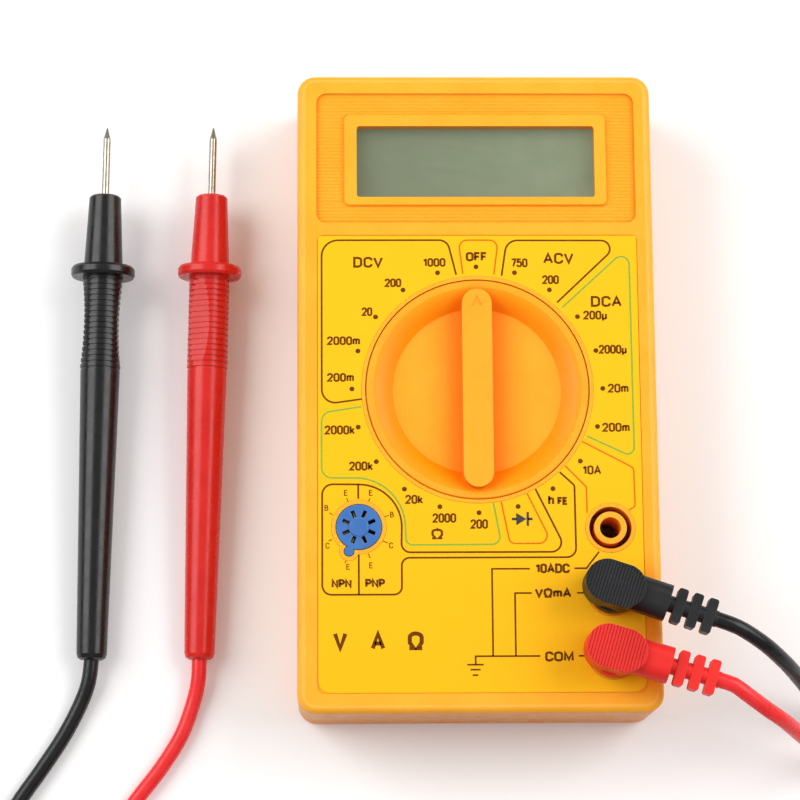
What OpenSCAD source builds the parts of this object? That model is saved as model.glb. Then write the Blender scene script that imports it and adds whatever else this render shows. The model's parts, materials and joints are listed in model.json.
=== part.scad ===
// Pocket digital multimeter with a 20-position rotary switch, and its two test leads.
// Origin: centre of the flat back. +X is to the right and +Y towards the display, seen from the front,
// and +Z comes out of the face.

/* [Case] */
// Width of the case
case_w = 70; // [68:0.5:74]
// Length of the case
case_l = 126.5; // [125:0.5:132]
// Thickness of the case, back to face
case_h = 24; // [24:0.5:26]
// Wall thickness of both shells
wall = 2; // [1.6:0.1:2.2]
// Height of the parting line above the back
split_z = 9; // [8:0.5:10]
// Corner radius at the display end and the socket end
corner_r = 3.6; // [3.4:0.1:5]
// Rounding of the outer edges
edge_r = 1.5; // [1:0.1:2]

/* [Rotary switch] */
// Visible diameter of the knob
knob_d = 43.4; // [42:0.2:44]
// Length of the grip bar across the knob
bar_l = 39.2; // [34:0.2:40]
// Width of the grip bar
bar_w = 5.8; // [5:0.1:7]
// Height of the grip bar above the face
bar_rise = 1.6; // [0.5:0.1:3]
// Number of switch positions
positions = 20; // [20]

/* [Display] */
// Width of the display window
window_w = 47; // [44:0.5:48]
// Height of the display window
window_h = 14.5; // [12:0.5:16]
// Distance from one rib to the next on the display surround
rib_pitch = 0.68; // [0.6:0.02:0.9]

/* [Sockets and leads] */
// Bore of the lead sockets
socket_d = 4.1; // [4.06:0.01:4.15]
// Diameter of the plug pins
pin_d = 3.96; // [3.9:0.01:3.98]
// Distance from one lead socket to the next
socket_pitch = 12.2; // [12:0.1:13]
// Diameter of the test lead cords
cord_d = 3; // [2.6:0.1:3]
// Length of a probe, handle and needle
probe_l = 108; // [104:1:112]

/* [Hidden] */
$fn = 64;
eps = 0.02;

// Levels in the case
face_in = case_h - wall;
board_top = 13;
board_t = 1.6;
board_bottom = board_top - board_t;
label_floor = case_h - 0.2;
label_t = 0.15;

// Display surround, bezel and label
panel = [62.9, 26.6];
panel_at = [0.2, 46.15];
panel_floor = case_h - 0.4;
bezel = [52, 18.8];
bezel_slope = 1.45;
bezel_at = [0.1, 45.85];
window_at = [0.2, 45.45];
label = [62.6, 89.7];
label_at = [0.3, -14.55];

// Knob and its bearing
knob_at = [0, -0.4];
knob_r = knob_d / 2;
knob_hole_r = knob_r + 0.14;
collar_r = knob_r + 0.85;
dish_r = knob_r - 0.9;
floor_r = 16.4;
floor_z = case_h - 2.4;
flange_r = knob_r + 4.2;
flange_top = face_in - 1.1;
flange_t = 2;
shaft_r = 3;
shaft_clear = 0.06;
detent_r = knob_r + 2.2;
detent_z = face_in - 0.8;
ball_r = 1.5;
ball_z = detent_z - 0.05 - ball_r;
spring_floor = 14.4;

// Lead sockets: 10 A at the top, volts and ohms in the middle, common at the bottom
socket_x = 25.3;
socket_y = [-27.8, -27.8 - socket_pitch, -27.8 - 2 * socket_pitch];
socket_r = socket_d / 2;
collar_out = 4.85;
moat_out = 4.1;
moat_in = 3.15;
moat_floor = 15.5;
sleeve_r = 2.75;
sleeve_bottom = 5.5;

// Transistor test socket
hfe_at = [-23.15, -27.5];
hfe_r = 4.35;
hfe_key = [-1.9, -4.7];
hfe_key_r = 0.9;

// Screws
case_screw_at = [[-31, -31.3], [31, -31.3]];
case_post_r = 2.8;
post_joint_z = split_z + 1.2;
board_screw_at = [[-29, 27.5], [29, 27.5], [0, -30]];

// Battery
battery = [46, 26.2, 17.2];
battery_at = [-32.1, -60.5, 2.3];

// Fuse
fuse_at = [-2, -23, 7.6];

// Plugs: distance of the cord outlet from the pin, height of the arm, and directions of the two arms
arm_z = 30.5;
arm_end = 10.5;
outlet = 20.2;
black_arm = -18.5;
red_arm = -16.5;
pin_r = pin_d / 2;
pin_bottom = 7;

// Probes: place of the handle's end, heading of the needle from +Y, rise of the axis
cord_r = cord_d / 2;
guard_r = 6.4;
handle_end_r = 3;
grip_from = 57.9;
grip_to = 76.9;
guard_to = 79.1;
nose_to = 93.7;
probe_rise = 2.6;
black_end = [-75.86, -50.6, handle_end_r];
red_end = [-54.6, -50.6, handle_end_r];
black_heading = 1.1;
red_heading = 1.25;

// Cord routes, from the plug to the coil and from the coil to the probe
black_run = [
    [44.74, -46.5, 30.5], [47.3, -47.4, 30.4], [49.8, -48.5, 29.7], [54.2, -51, 27], [58.8, -54, 21.8],
    [62.3, -56.3, 15.5], [66, -58.8, 8.6], [70.5, -61.8, 3.9], [76, -65.5, 1.8], [82, -70.2, 1.5],
    [87, -75.5, 1.5], [90.5, -82, 1.5], [93, -97, 1.5], [90.5, -113, 1.5], [87, -120.5, 1.5],
    [81.5, -127, 1.5], [75, -132, 1.5], [67, -135, 1.5], [58, -136, 1.5], [48, -136, 1.5],
    [28, -136, 1.5], [8, -136, 1.5], [-12, -136, 1.5], [-30, -136, 1.5]
];
black_tail = [
    [-30, -136, 4.5], [-39, -136, 4.4], [-48, -136, 2.8], [-57, -135.6, 1.6], [-65.5, -133.8, 1.5],
    [-73.5, -130.6, 1.5], [-81, -126, 1.5], [-87.5, -119.6, 1.5], [-92.5, -112, 1.5], [-95.6, -103.5, 1.5],
    [-96.4, -95, 1.5], [-94.4, -86.5, 1.5], [-90, -78.6, 1.5], [-85.3, -71.8, 1.5], [-81.1, -65.3, 1.5],
    [-78, -59.2, 1.7], [-76.4, -54.9, 2.6], [-75.86, -50.6, 3]
];
red_run = [
    [44.96, -58.02, 30.5], [47.3, -58.8, 30.4], [49.4, -60.2, 29.8], [53.8, -63, 27.1], [57.6, -65, 23.7],
    [61.7, -67, 16.8], [65.2, -68.6, 10.7], [69, -70.4, 5.7], [73.2, -72.6, 2.6], [77, -75.3, 1.6],
    [80.1, -79.3, 1.5], [80.4, -84.2, 1.5], [77.7, -88.2, 1.5], [72.6, -90, 1.5], [64, -90, 1.5],
    [56, -90, 1.5], [48, -90, 1.5], [40, -90, 1.5]
];
red_tail = [
    [40, -90, 4.5], [31, -90, 4.4], [22, -90, 2.8], [13, -90, 1.6], [4, -90, 1.5], [-6, -90, 1.5],
    [-16, -90, 1.5], [-26, -90, 1.5], [-35, -90.2, 1.5], [-44, -91.6, 1.5], [-52.5, -93.8, 1.5],
    [-60, -94.6, 1.5], [-66.4, -92.8, 1.5], [-70, -88.2, 1.5], [-69.8, -82.6, 1.5], [-66.5, -77.6, 1.5],
    [-61.9, -71.6, 1.5], [-58.1, -65.4, 1.5], [-55.9, -59.4, 1.7], [-54.8, -54.9, 2.6], [-54.6, -50.6, 3]
];
// Coils: outer winding radius, and the centre, below the red route and above the black one
coil_out = 20;
black_coil_at = [-30, -136 + coil_out];
red_coil_at = [40, -90 - coil_out];

// ---------------------------------------------------------------- shared shapes

// Rectangle with round corners, centred
module rounded(size, r) {
    square([size.x - 2 * r, size.y], center = true);
    square([size.x, size.y - 2 * r], center = true);
    for (x = [-1, 1], y = [-1, 1]) {
        translate([x * (size.x / 2 - r), y * (size.y / 2 - r)]) circle(r = r);
    }
}

module rounded_plate(size, r, z0, z1) {
    translate([0, 0, z0]) linear_extrude(z1 - z0) rounded(size, r);
}

// Half of the case's outer form: round corners, and an edge rounded over at the top (dir 1) or bottom (-1)
module half_form(z0, z1, dir) {
    steps = 5;
    flat_z = dir > 0 ? z0 : z1;
    round_z = dir > 0 ? z1 - edge_r : z0 + edge_r;
    hull() for (x = [-1, 1], y = [-1, 1]) {
        translate([x * (case_w / 2 - corner_r), y * (case_l / 2 - corner_r), 0]) {
            translate([0, 0, min(flat_z, round_z)])
                cylinder(r = corner_r, h = abs(flat_z - round_z), $fn = 40);
            for (i = [1 : steps]) {
                rise = edge_r * sin(90 * i / steps);
                inset = edge_r * (1 - cos(90 * i / steps));
                translate([0, 0, round_z + dir * rise - (dir > 0 ? 0.01 : 0)])
                    cylinder(r = corner_r - inset, h = 0.01, $fn = 40);
            }
        }
    }
}

// A tube swept along a list of points, with rings that face along the path
function unit(v) = v / norm(v);
function heading(path, i) = unit(path[min(i + 1, len(path) - 1)] - path[max(i - 1, 0)]);
function ring(path, i, r, sides) =
    let (t = heading(path, i), side = unit(cross(t, [0, 0, 1])), up = cross(side, t))
    [for (k = [0 : sides - 1]) path[i] + r * (cos(360 * k / sides) * side + sin(360 * k / sides) * up)];

module tube(path, d) {
    sides = 8;
    n = len(path);
    points = [for (i = [0 : n - 1]) each ring(path, i, d / 2, sides)];
    walls = [for (i = [0 : n - 2], k = [0 : sides - 1])
        [i * sides + k, i * sides + (k + 1) % sides, (i + 1) * sides + (k + 1) % sides, (i + 1) * sides + k]];
    start = [for (k = [sides - 1 : -1 : 0]) k];
    finish = [for (k = [0 : sides - 1]) (n - 1) * sides + k];
    polyhedron(points, concat([start, finish], walls), convexity = 8);
}

// Two by two turns of cord: a ring of outer winding radius r, two cord diameters high
module coil(at, r) {
    width = 3.2 * cord_d;
    translate([at.x, at.y, 0]) rotate_extrude($fn = 96)
        translate([r + cord_r - width / 2, cord_d]) rounded([width, 2 * cord_d], cord_r);
}

// Flat strap that closes round the coil's turns, on the side that faces away from the meter
module tie(at, r, side) {
    strap = 0.5;
    width = 3.2 * cord_d;
    translate([at.x, at.y + side * (r + cord_r - width / 2), cord_d])
        rotate([90, 0, 90]) translate([0, 0, -2]) linear_extrude(4) difference() {
            rounded([width + 2 * strap, 2 * cord_d], 1);
            rounded([width, 2 * cord_d - 2 * strap], 0.6);
        }
}

// ---------------------------------------------------------------- case

module socket_places() {
    for (y = socket_y) translate([socket_x, y, 0]) children();
}

module hfe_outline(grow) {
    circle(r = hfe_r + grow);
    translate(hfe_key) circle(r = hfe_key_r + grow);
}

// Fine horizontal ribs of the display surround, as the grooves between them
module rib_grooves() {
    count = floor(panel.y / rib_pitch);
    depth = 0.14;
    teeth = [for (i = [0 : count - 1]) each [
        [i * rib_pitch, 0], [(i + 0.25) * rib_pitch, -depth], [(i + 0.6) * rib_pitch, -depth]
    ]];
    profile = concat([[0, 0.3]], teeth, [[count * rib_pitch, 0], [count * rib_pitch, 0.3]]);
    translate([-panel.x / 2, -count * rib_pitch / 2, panel_floor])
        rotate([90, 0, 90]) linear_extrude(panel.x) polygon(profile);
}

module panel_recess() {
    difference() {
        translate(panel_at) union() {
            rounded_plate(panel, 2, panel_floor, case_h + 1);
            intersection() {
                rib_grooves();
                rounded_plate(panel, 2, panel_floor - 1, case_h + 1);
            }
        }
        translate(bezel_at) hull() {
            rounded_plate(bezel, 1.2, panel_floor - 1, panel_floor + 0.05);
            rounded_plate(bezel - 2 * [bezel_slope, bezel_slope], 0.8, case_h - 0.05, case_h + 2);
        }
    }
}

module label_recess() {
    difference() {
        translate(label_at) rounded_plate(label + [0.3, 0.3], 1.2, label_floor, case_h + 1);
        translate(knob_at) cylinder(r = collar_r, h = case_h + 2);
        translate(hfe_at) linear_extrude(case_h + 2) hfe_outline(0.95);
        socket_places() cylinder(r = collar_out, h = case_h + 2);
    }
}

module front_shell() {
    difference() {
        half_form(split_z, case_h, 1);
        rounded_plate([case_w - 2 * wall, case_l - 2 * wall], corner_r - wall, split_z - 1, face_in);
        rounded_plate([case_w - wall, case_l - wall], corner_r - wall / 2, split_z - 1, post_joint_z);
        panel_recess();
        label_recess();
        translate(window_at) rounded_plate([window_w, window_h], 0.6, face_in - 1, case_h + 1);
    }
}

// Tubes and posts that hang from the inside of the face
module front_posts() {
    socket_places() translate([0, 0, moat_floor - 1]) cylinder(r = collar_out, h = case_h - 1 - moat_floor + 1);
    for (p = case_screw_at) translate([p.x, p.y, post_joint_z])
        cylinder(r = case_post_r, h = face_in - post_joint_z + eps);
    for (p = board_screw_at) translate([p.x, p.y, board_top]) cylinder(r = 2.5, h = face_in - board_top + eps);
}

// Ring of 20 notches that the detent balls click into, under the face around the knob
module detent_ring() {
    notch = 1.1;
    translate([knob_at.x, knob_at.y, detent_z]) difference() {
        cylinder(r = detent_r + 1.8, h = face_in - detent_z + eps, $fn = 96);
        translate([0, 0, -1]) cylinder(r = detent_r - 1.9, h = 3, $fn = 96);
        for (i = [0 : positions - 1]) rotate(i * 360 / positions)
            translate([detent_r - 3, 0, 0]) rotate([90, 0, 90]) linear_extrude(6)
                polygon([[-notch, -0.1], [notch, -0.1], [notch, 0], [0.3, 0.55], [-0.3, 0.55], [-notch, 0]]);
    }
}

module front_case() {
    color("#f7ac2c") difference() {
        union() {
            front_shell();
            front_posts();
            detent_ring();
        }
        translate(knob_at) translate([0, 0, detent_z - 1]) cylinder(r = knob_hole_r, h = 5, $fn = 96);
        translate(hfe_at) translate([0, 0, face_in - 1]) linear_extrude(5) hfe_outline(0.15);
        socket_places() {
            difference() {
                translate([0, 0, moat_floor]) cylinder(r = moat_out, h = case_h);
                translate([0, 0, moat_floor - 1]) cylinder(r = moat_in, h = case_h - moat_floor + 1);
            }
            translate([0, 0, moat_floor - 2]) cylinder(r = socket_r, h = case_h);
        }
        for (p = case_screw_at) translate([p.x, p.y, split_z - 1]) cylinder(r = 1.45, h = 11);
        for (p = board_screw_at) translate([p.x, p.y, board_top - 1]) cylinder(r = 1.05, h = 7);
    }
}

module rear_cover() {
    lip = wall / 2 - 0.1;
    color("#ef9f22") difference() {
        union() {
            difference() {
                half_form(0, split_z, -1);
                rounded_plate([case_w - 2 * wall, case_l - 2 * wall], corner_r - wall, wall, split_z + 1);
            }
            difference() {
                rounded_plate([case_w - 2 * wall + 2 * lip, case_l - 2 * wall + 2 * lip],
                    corner_r - wall + lip, wall, split_z + 1);
                rounded_plate([case_w - 2 * wall, case_l - 2 * wall], corner_r - wall, wall - 1, split_z + 2);
            }
            for (p = case_screw_at) translate([p.x, p.y, 1]) cylinder(r = case_post_r, h = post_joint_z - 1);
        }
        for (p = case_screw_at) {
            translate([p.x, p.y, -1]) cylinder(r = 1.6, h = post_joint_z + 2);
            translate([p.x, p.y, -1]) cylinder(r = 2.5, h = 6);
        }
    }
}

// Printed plastic label with openings for the knob and the sockets
module function_label() {
    color("#ffd21c") difference() {
        translate(label_at) union() {
            rounded_plate(label, 2.3, label_floor, label_floor + label_t);
            translate([0, label.y / 2 - 5, 0])
                rounded_plate([label.x, 10], 0.5, label_floor, label_floor + label_t);
        }
        translate(knob_at) cylinder(r = collar_r + 0.05, h = case_h + 2, $fn = 96);
        translate(hfe_at) linear_extrude(case_h + 2) hfe_outline(1);
        socket_places() cylinder(r = collar_out + 0.05, h = case_h + 2);
    }
}

module case_screws() {
    color("#8d9095") for (p = case_screw_at) translate([p.x, p.y, 0]) difference() {
        union() {
            translate([0, 0, 3]) cylinder(r = 2.3, h = 2);
            translate([0, 0, 3]) cylinder(r = 1.4, h = 12);
        }
        for (a = [0, 90]) rotate(a) translate([-1.5, -0.25, 2]) cube([3, 0.5, 2]);
    }
}

// ---------------------------------------------------------------- display

module lcd_lens() {
    color("#dfe8e6") translate(bezel_at)
        rounded_plate([window_w + 3.4, window_h + 3.4], 0.8, face_in - 1.2, face_in);
}

module lcd_glass() {
    color("#87947a") translate([bezel_at.x - 25.5, bezel_at.y - 12, 18]) cube([51, 24, 2.8]);
}

module lcd_holder() {
    color("#e8e8e2") translate([bezel_at.x, bezel_at.y, 0]) difference() {
        rounded_plate([57, 28], 1, board_top, face_in - 1.2);
        translate([-25.6, -12.1, board_top - 1]) cube([51.2, 24.2, 12]);
    }
}

module zebra_strips() {
    color("#4a4a4d") for (y = [-11, 8.6]) {
        translate([bezel_at.x - 23, bezel_at.y + y, board_top]) cube([46, 2.4, 5]);
    }
}

// ---------------------------------------------------------------- circuit board

module circuit_board() {
    right = case_w / 2 - wall - 1;
    color("#8a6f3a") difference() {
        translate([0, 0, board_bottom]) linear_extrude(board_t)
            polygon([[-right, -33.6], [18.5, -33.6], [18.5, -60.4], [right, -60.4],
                [right, 60.4], [-right, 60.4]]);
        translate([knob_at.x, knob_at.y, 0]) cylinder(r = shaft_r + shaft_clear, h = case_h);
        socket_places() cylinder(r = sleeve_r + 0.05, h = case_h);
        for (p = case_screw_at) translate(p) cylinder(r = 3.4, h = case_h);
        for (p = board_screw_at) translate(p) cylinder(r = 1.1, h = case_h);
    }
}

// Rings of contact track that the knob's brushes slide on
module switch_tracks() {
    color("#c9a24a") translate([knob_at.x, knob_at.y, board_top]) for (r = [7, 10, 13, 16]) {
        difference() {
            cylinder(r = r + 1, h = 0.04);
            translate([0, 0, -1]) cylinder(r = r, h = 2);
        }
    }
}

module board_screws() {
    color("#8d9095") for (p = board_screw_at) translate([p.x, p.y, 0]) {
        translate([0, 0, board_bottom - 1.3]) cylinder(r = 1.9, h = 1.3);
        translate([0, 0, board_bottom - 0.5]) cylinder(r = 1, h = 7);
    }
}

// Dome of black resin over the bare chip
module chip_blob() {
    r = 7;
    h = 1.8;
    color("#17181a") translate([-14, 14, board_bottom]) mirror([0, 0, 1])
        rotate_extrude() polygon(concat([[0, 0]], [for (a = [0 : 10 : 90]) [r * cos(a), h * sin(a)]]));
}

// Axial part lying under the board on two bent legs
module axial(at, angle, r, l) {
    z = board_bottom - 2;
    translate([at.x, at.y, 0]) rotate(angle) {
        translate([-l / 2, 0, z]) rotate([0, 90, 0]) cylinder(r = r, h = l, $fn = 32);
        for (s = [-1, 1]) {
            translate([s * (l / 2 + 0.9) - 0.95, 0, z]) rotate([0, 90, 0]) cylinder(r = 0.3, h = 1.9, $fn = 16);
            translate([s * (l / 2 + 1.6), 0, z]) cylinder(r = 0.3, h = 2, $fn = 16);
        }
    }
}

module resistors() {
    color("#c7b187") {
        for (i = [0 : 6]) axial([8 + 3.4 * i, 45], 90, 1.2, 6.4);
        for (i = [0 : 4]) axial([-10 + 3.4 * i, 33], 90, 1.2, 6.4);
    }
}

module rectifier_diodes() {
    color("#25272a") for (i = [0 : 1]) axial([22, 18 - 4 * i], 0, 1.35, 4.2);
}

module film_capacitors() {
    color("#a8502a") for (i = [0 : 2]) {
        translate([-24 + 9 * i, 46, board_bottom - 7]) cube([7, 3, 7]);
    }
}

module electrolytic_capacitors() {
    color("#2d3340") for (i = [0 : 1]) {
        translate([-24 + 8 * i, 32, board_bottom - 8]) cylinder(r = 2.5, h = 8);
    }
}

module trimmer() {
    color("#3565b8") translate([16, 28, 0]) difference() {
        union() {
            translate([-3.2, -3.2, board_bottom - 3.4]) cube([6.4, 6.4, 3.4]);
            translate([0, 0, board_bottom - 4.2]) cylinder(r = 2.2, h = 1);
        }
        translate([-1.8, -0.35, board_bottom - 5]) cube([3.6, 0.7, 1.4]);
    }
}

// Thick bent wire that carries the 10 A range
module shunt_wire() {
    x = 20.3;
    z = board_bottom - 3.6;
    color("#b98a4c") {
        for (y = [-29, -49]) {
            translate([x, y, z]) cylinder(r = 0.8, h = 3.6);
            translate([x, y, z]) sphere(r = 0.8, $fn = 32);
        }
        translate([x, -49, z]) rotate([-90, 0, 0]) cylinder(r = 0.8, h = 20);
    }
}

module fuse_glass() {
    color("#cfdcdc") translate(fuse_at) rotate([0, 90, 0]) difference() {
        cylinder(r = 2.4, h = 14, center = true);
        cylinder(r = 1.9, h = 16, center = true);
    }
}

module fuse_caps() {
    color("#c4c7c9") translate(fuse_at) rotate([0, 90, 0]) for (s = [-1, 1]) {
        difference() {
            translate([0, 0, s * 7.5]) cylinder(r = 2.6, h = 5, center = true);
            translate([0, 0, s * 5.9]) cylinder(r = 2.4, h = 2.2, center = true);
        }
    }
}

module fuse_clips() {
    color("#c4c7c9") for (s = [-1, 1]) translate([fuse_at.x + s * 8.2, fuse_at.y, 0]) {
        translate([-1.6, -3.2, fuse_at.z + 2.7]) cube([3.2, 6.4, board_bottom - fuse_at.z - 2.7]);
        for (t = [-1, 1]) translate([-1.6, t * 2.95 - 0.25, fuse_at.z - 1.8]) cube([3.2, 0.5, 5]);
    }
}

module battery_can() {
    color("#30343a") translate(battery_at) cube(battery);
}

module battery_terminals() {
    color("#c4c7c9") for (s = [-1, 1]) {
        translate([battery_at.x + battery.x, battery_at.y + battery.y / 2 + s * 6.35, battery_at.z + 8.6])
            rotate([0, 90, 0]) cylinder(r = s > 0 ? 2.9 : 3.9, h = 2.5);
    }
}

module battery_snap() {
    color("#1b1c1e") translate([battery_at.x + battery.x + 2.5, battery_at.y + 1, battery_at.z + 2.6])
        cube([1.8, 24, 12]);
}

// Two short wires from the snap up to the board
module battery_leads() {
    x = battery_at.x + battery.x + 4.3;
    color("#b3282b") for (y = [-55, -57.5]) {
        translate([x, y, 6]) rotate([0, 90, 0]) cylinder(r = 0.6, h = 2.6, $fn = 32);
        translate([x + 2.6, y, 6]) sphere(r = 0.6, $fn = 32);
        translate([x + 2.6, y, 6]) cylinder(r = 0.6, h = board_bottom - 6, $fn = 32);
    }
}

module shield_foil() {
    color("#c8a26b") translate([-27, -27, wall]) cube([54, 84, 0.15]);
}

module earth_spring() {
    color("#b9bcc0") translate([8, -12, wall + 0.15]) difference() {
        cylinder(r = 2.4, h = board_bottom - wall - 0.15);
        translate([0, 0, -1]) cylinder(r = 2, h = 20);
    }
}

// ---------------------------------------------------------------- sockets

// Blue plug-in block with eight slots for transistor legs
module transistor_socket() {
    top = case_h + 0.1;
    color("#4b86c8") translate([hfe_at.x, hfe_at.y, 0]) difference() {
        union() {
            translate([0, 0, board_top]) linear_extrude(top - board_top) hfe_outline(0);
            translate([0, 0, top - 1]) cylinder(r = 1.75, h = 1.3);
        }
        for (i = [0 : 7]) rotate(22.5 + 45 * i) translate([1.95, -0.38, top - 6]) cube([1.45, 0.76, 7]);
    }
}

module transistor_contacts() {
    top = case_h + 0.1;
    color("#c9a24a") translate([hfe_at.x, hfe_at.y, top - 6]) for (i = [0 : 7]) {
        rotate(22.5 + 45 * i) translate([2.05, -0.3, 0]) cube([1.25, 0.25, 3.6]);
    }
}

module jack_sleeves() {
    color("#cfae55") socket_places() translate([0, 0, sleeve_bottom]) difference() {
        cylinder(r = sleeve_r, h = moat_floor - 1 - sleeve_bottom);
        translate([0, 0, -1]) cylinder(r = socket_r, h = 12);
    }
}

// ---------------------------------------------------------------- rotary switch

// Dished disc on a shaft with a flange that is hidden under the case. The dish falls off from its rim
// ever more steeply, to a flat floor.
module knob_turned() {
    slope = [for (i = [0 : 8]) let (t = i / 8)
        [dish_r - (dish_r - floor_r) * t, case_h - (case_h - floor_z) * (1 - cos(90 * t))]];
    under = floor_z - 1.6;
    rotate_extrude($fn = 96) polygon(concat(
        [[0, board_bottom - 0.8], [shaft_r, board_bottom - 0.8], [shaft_r, under], [floor_r - 0.4, under],
         [knob_r - 1.8, under + 0.6], [knob_r - 1.8, flange_top - flange_t], [flange_r, flange_top - flange_t],
         [flange_r, flange_top], [knob_r, flange_top], [knob_r, case_h - 0.2], [knob_r - 0.2, case_h]],
        slope,
        [[0, floor_z]]
    ));
}

module bar_outline(w, l) {
    square([w, l - w], center = true);
    for (s = [-1, 1]) translate([0, s * (l - w) / 2]) circle(r = w / 2);
}

module knob() {
    color("#f5a52a") translate([knob_at.x, knob_at.y, 0]) difference() {
        union() {
            knob_turned();
            translate([0, 0, floor_z - 1]) linear_extrude(case_h + bar_rise - floor_z + 1)
                bar_outline(bar_w, bar_l);
            for (a = [0, 180]) rotate(a) translate([detent_r, 0, spring_floor - 0.8])
                cylinder(r = ball_r + 0.4, h = flange_top - spring_floor + 0.8);
            for (a = [30, 210]) rotate(a) translate([5.5, -1.5, board_top + 1.6]) cube([13, 3, 6]);
        }
        for (a = [0, 180]) rotate(a) translate([detent_r, 0, spring_floor]) cylinder(r = ball_r + 0.06, h = 10);
        // arrow sunk into the end of the bar
        translate([0, bar_l / 2 - 2.6, case_h + bar_rise - 0.12]) linear_extrude(1)
            polygon([[0, 1.3], [-1.05, -0.9], [0, -0.45], [1.05, -0.9]]);
    }
}

// Six V-shaped sprung brushes, three on each carrier
module knob_contacts() {
    gap = 0.06;
    color("#d4b25e") translate([knob_at.x, knob_at.y, board_top + gap]) {
        for (a = [30, 210], r = [7.5, 10.5, 13.5]) rotate(a) translate([r - 0.6, 0, 0])
            rotate([90, 0, 90]) linear_extrude(1.2) polygon([[-2, 1.5], [-0.4, 0], [0.4, 0], [2, 1.5],
                [1.6, 1.5], [0.25, 0.25], [-0.25, 0.25], [-1.6, 1.5]]);
    }
}

module detent_spring(side) {
    color("#b9bcc0") translate([knob_at.x + side * detent_r, knob_at.y, spring_floor]) difference() {
        cylinder(r = 1.35, h = ball_z - 1.1 - spring_floor);
        translate([0, 0, -1]) cylinder(r = 1.05, h = 8);
    }
}

module detent_ball(side) {
    color("#d3d6d9") translate([knob_at.x + side * detent_r, knob_at.y, ball_z]) sphere(r = ball_r);
}

// ---------------------------------------------------------------- plugs

module at_plug(i, angle) {
    translate([socket_x, socket_y[i], 0]) rotate(angle) children();
}

// Angled plug: oval finger pad over the pin, a shroud that enters the socket's moat, and an arm
module plug_body(i, angle) {
    pad = [11.6, 8.2];
    ridge = 0.6;
    at_plug(i, angle) difference() {
        union() {
            translate([-0.2, 0, 26.4]) linear_extrude(8.2) bar_outline_x(pad);
            translate([0, 0, 24.3]) cylinder(r = 4.5, h = 3);
            translate([0, 0, 18]) cylinder(r = 3.85, h = 8);
            translate([2, 0, arm_z]) rotate([90, 0, 90]) linear_extrude(arm_end - 2) rounded([6.9, 6.6], 2.4);
        }
        translate([0, 0, 17]) cylinder(r = 3.4, h = 8.5);
        translate([0, 0, 20]) cylinder(r = pin_r, h = 10);
        for (k = [-9 : 8]) translate([(k - 0.25) * ridge, -6, 34.35]) cube([ridge / 2, 12, 1]);
    }
}

module bar_outline_x(size) {
    square([size.x - size.y, size.y], center = true);
    for (s = [-1, 1]) translate([s * (size.x - size.y) / 2, 0]) circle(r = size.y / 2);
}

module plug_pin(i, angle) {
    color("#c9cccf") at_plug(i, angle) rotate_extrude() polygon(concat(
        [[0, 30], [pin_r, 30], [pin_r, pin_bottom + 1.4]],
        [for (a = [15 : 15 : 90]) [pin_r - 0.9 + 0.9 * cos(a), pin_bottom + 1.4 - 1.4 * sin(a)]],
        [[0, pin_bottom]]
    ));
}

// Comb-shaped strain relief: a round core with three cross pieces
module plug_relief(i, angle) {
    tab = [1.9, 6.7];
    tab_t = 3.4;
    pitch = 3;
    at_plug(i, angle) translate([arm_end, 0, arm_z]) {
        rotate([0, 90, 0]) cylinder(r = 1.6, h = outlet - arm_end);
        for (k = [0 : 2]) translate([2.1 + pitch * k, 0, 0]) rounded_plate(tab, 0.5, -tab_t / 2, tab_t / 2);
    }
}

// ---------------------------------------------------------------- probes

module at_probe(end, angle) {
    translate(end) rotate([probe_rise, 0, 0]) rotate(-angle) rotate([-90, 0, 0]) children();
}

// One slice of the grip, a disc pinched from two sides
module grip_slice(z, h, r, half) {
    translate([0, 0, z]) linear_extrude(h) intersection() {
        circle(r = r);
        square([2 * half, 4 * r], center = true);
    }
}

// Handle: tapered barrel, ribbed grip with a pinched waist, finger guard and nose
module probe_handle(end, angle, roll) {
    ribs = 17;
    pitch = (grip_to - grip_from) / ribs;
    rib_r = 4.05;
    waist = 3.3;
    at_probe(end, angle) difference() {
        union() {
            rotate_extrude() polygon([
                [0, 0], [handle_end_r - 0.9, 0], [handle_end_r - 0.25, 0.4], [handle_end_r, 1.2],
                [3.95, grip_from - 0.3], [3.95, grip_from], [0, grip_from]
            ]);
            rotate(roll) for (k = [0 : ribs - 1]) {
                half = waist + (rib_r - waist) * pow(2 * (k + 0.5) / ribs - 1, 2);
                grip_slice(grip_from + k * pitch - 0.1, 0.4 * pitch + 0.2, rib_r - 0.3, half - 0.2);
                grip_slice(grip_from + (k + 0.4) * pitch, 0.6 * pitch, rib_r, half);
            }
            rotate_extrude() polygon([
                [0, grip_to - 0.2], [3, grip_to - 0.2], [3, grip_to], [guard_r - 0.3, grip_to],
                [guard_r, grip_to + 0.5], [guard_r, guard_to - 0.6],
                [guard_r - 0.3, guard_to - 0.1], [3.9, guard_to], [3.2, nose_to - 0.4], [2.8, nose_to],
                [0, nose_to]
            ]);
        }
        translate([0, 0, nose_to - 12]) cylinder(r = 0.8, h = 20);
    }
}

module probe_needle(end, angle) {
    r = 0.75;
    color("#c9cccf") at_probe(end, angle) {
        translate([0, 0, nose_to - 12]) cylinder(r = r, h = probe_l - nose_to + 12 - 2.4);
        translate([0, 0, probe_l - 2.4]) cylinder(r1 = r, r2 = 0.1, h = 2.4);
    }
}

black = "#26272a";
red = "#d8262e";

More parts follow.
